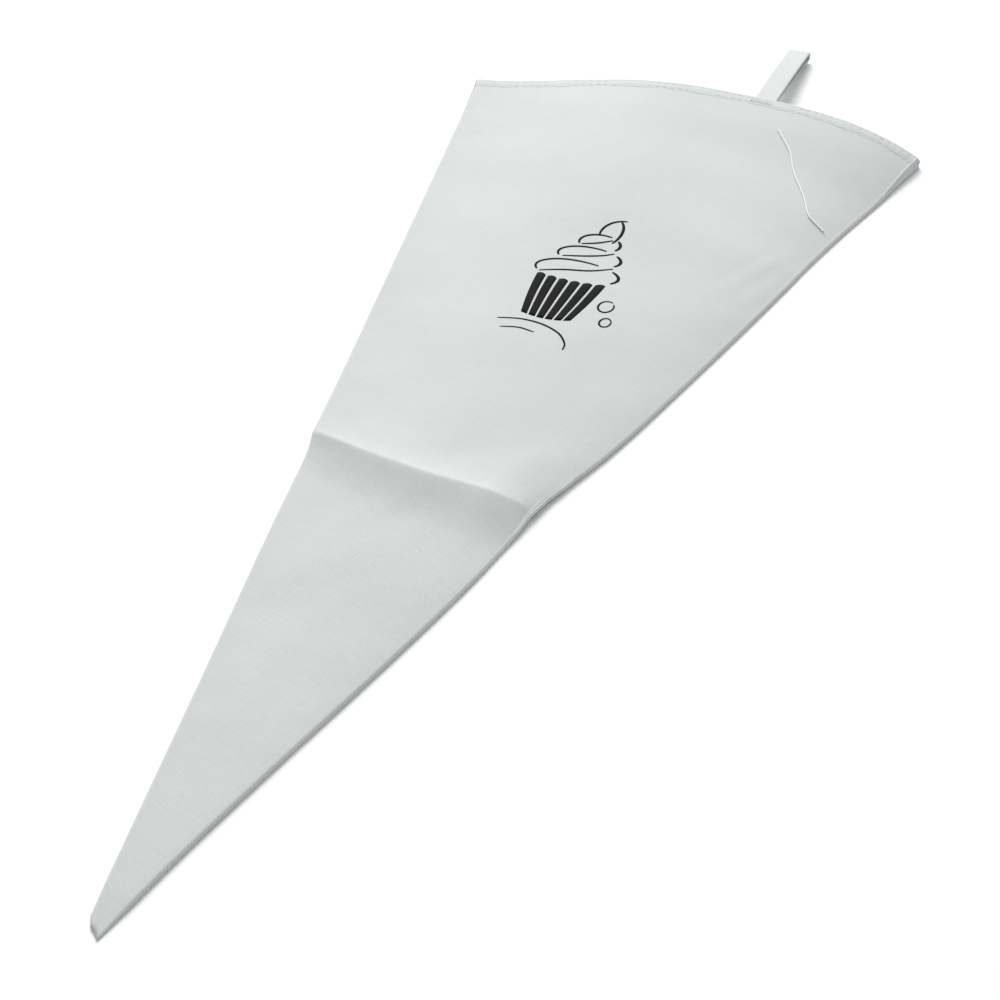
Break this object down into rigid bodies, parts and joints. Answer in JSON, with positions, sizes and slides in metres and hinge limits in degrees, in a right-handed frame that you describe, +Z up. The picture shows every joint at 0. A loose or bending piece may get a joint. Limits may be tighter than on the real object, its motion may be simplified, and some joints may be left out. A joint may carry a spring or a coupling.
{
  "type": "piping bag",
  "caption": "Flat cotton piping bag with a folded left edge, a sewn right edge, a stitched curved mouth, a hanging loop and a cut tip.",
  "frame": {"origin": "bottom centre of the box around the bag and its hanging loop, as it lies flat", "axes": "+Y from the cut tip to the mouth along the bag's middle line, +Z up out of the front, +X towards the sewn edge"},
  "size_m": [0.19, 0.55, 0.013],
  "materials": {
    "cotton": "matte",
    "thread": "matte",
    "tape": "matte"
  },
  "bodies": {
    "back_left": {"back_left_gore": "cotton", "back_left_hem": "cotton", "back_left_outer_stitches": "thread", "back_left_inner_stitches": "thread"},
    "back_right": {"back_right_gore": "cotton", "back_right_hem": "cotton", "back_right_outer_stitches": "thread", "back_right_inner_stitches": "thread", "side_seam_allowance": "cotton", "side_seam_thread": "thread"},
    "front_left": {"front_left_gore": "cotton", "front_left_hem": "cotton", "front_left_outer_stitches": "thread", "front_left_inner_stitches": "thread"},
    "front_right": {"front_right_gore": "cotton", "front_right_hem": "cotton", "front_right_outer_stitches": "thread", "front_right_inner_stitches": "thread", "loop_tape_ends": "tape", "loop_bar_tack": "thread", "loose_thread": "thread"},
    "loop": {"hanging_loop": "tape"}
  },
  "joints": [
    {"name": "mouth_opening", "type": "hinge", "parent": "back_left", "child": "front_left", "pos_m": [-0.04749, -0.04093, 0.00155], "axis": [0.19, -0.9818, 0], "range_deg": [0, 84]},
    {"name": "front_fold", "type": "hinge", "parent": "front_left", "child": "front_right", "pos_m": [0, -0.03638, 0.0071], "axis": [0, 0.9998, 0.0188], "range_deg": [0, 78.2]},
    {"name": "back_fold", "type": "hinge", "parent": "back_left", "child": "back_right", "pos_m": [0, -0.03638, 0.0007], "axis": [0, -1, 0], "range_deg": [0, 88.6]},
    {"name": "loop_swing", "type": "hinge", "parent": "front_right", "child": "loop", "pos_m": [0.02763, 0.21345, 0.01011], "axis": [0.9993, 0.0384, 0], "range_deg": [0, 165]}
  ],
  "couplings": [
    {"joint": "front_fold", "follows": "mouth_opening", "ratio": 0.927},
    {"joint": "back_fold", "follows": "mouth_opening", "ratio": 1.0505}
  ]
}
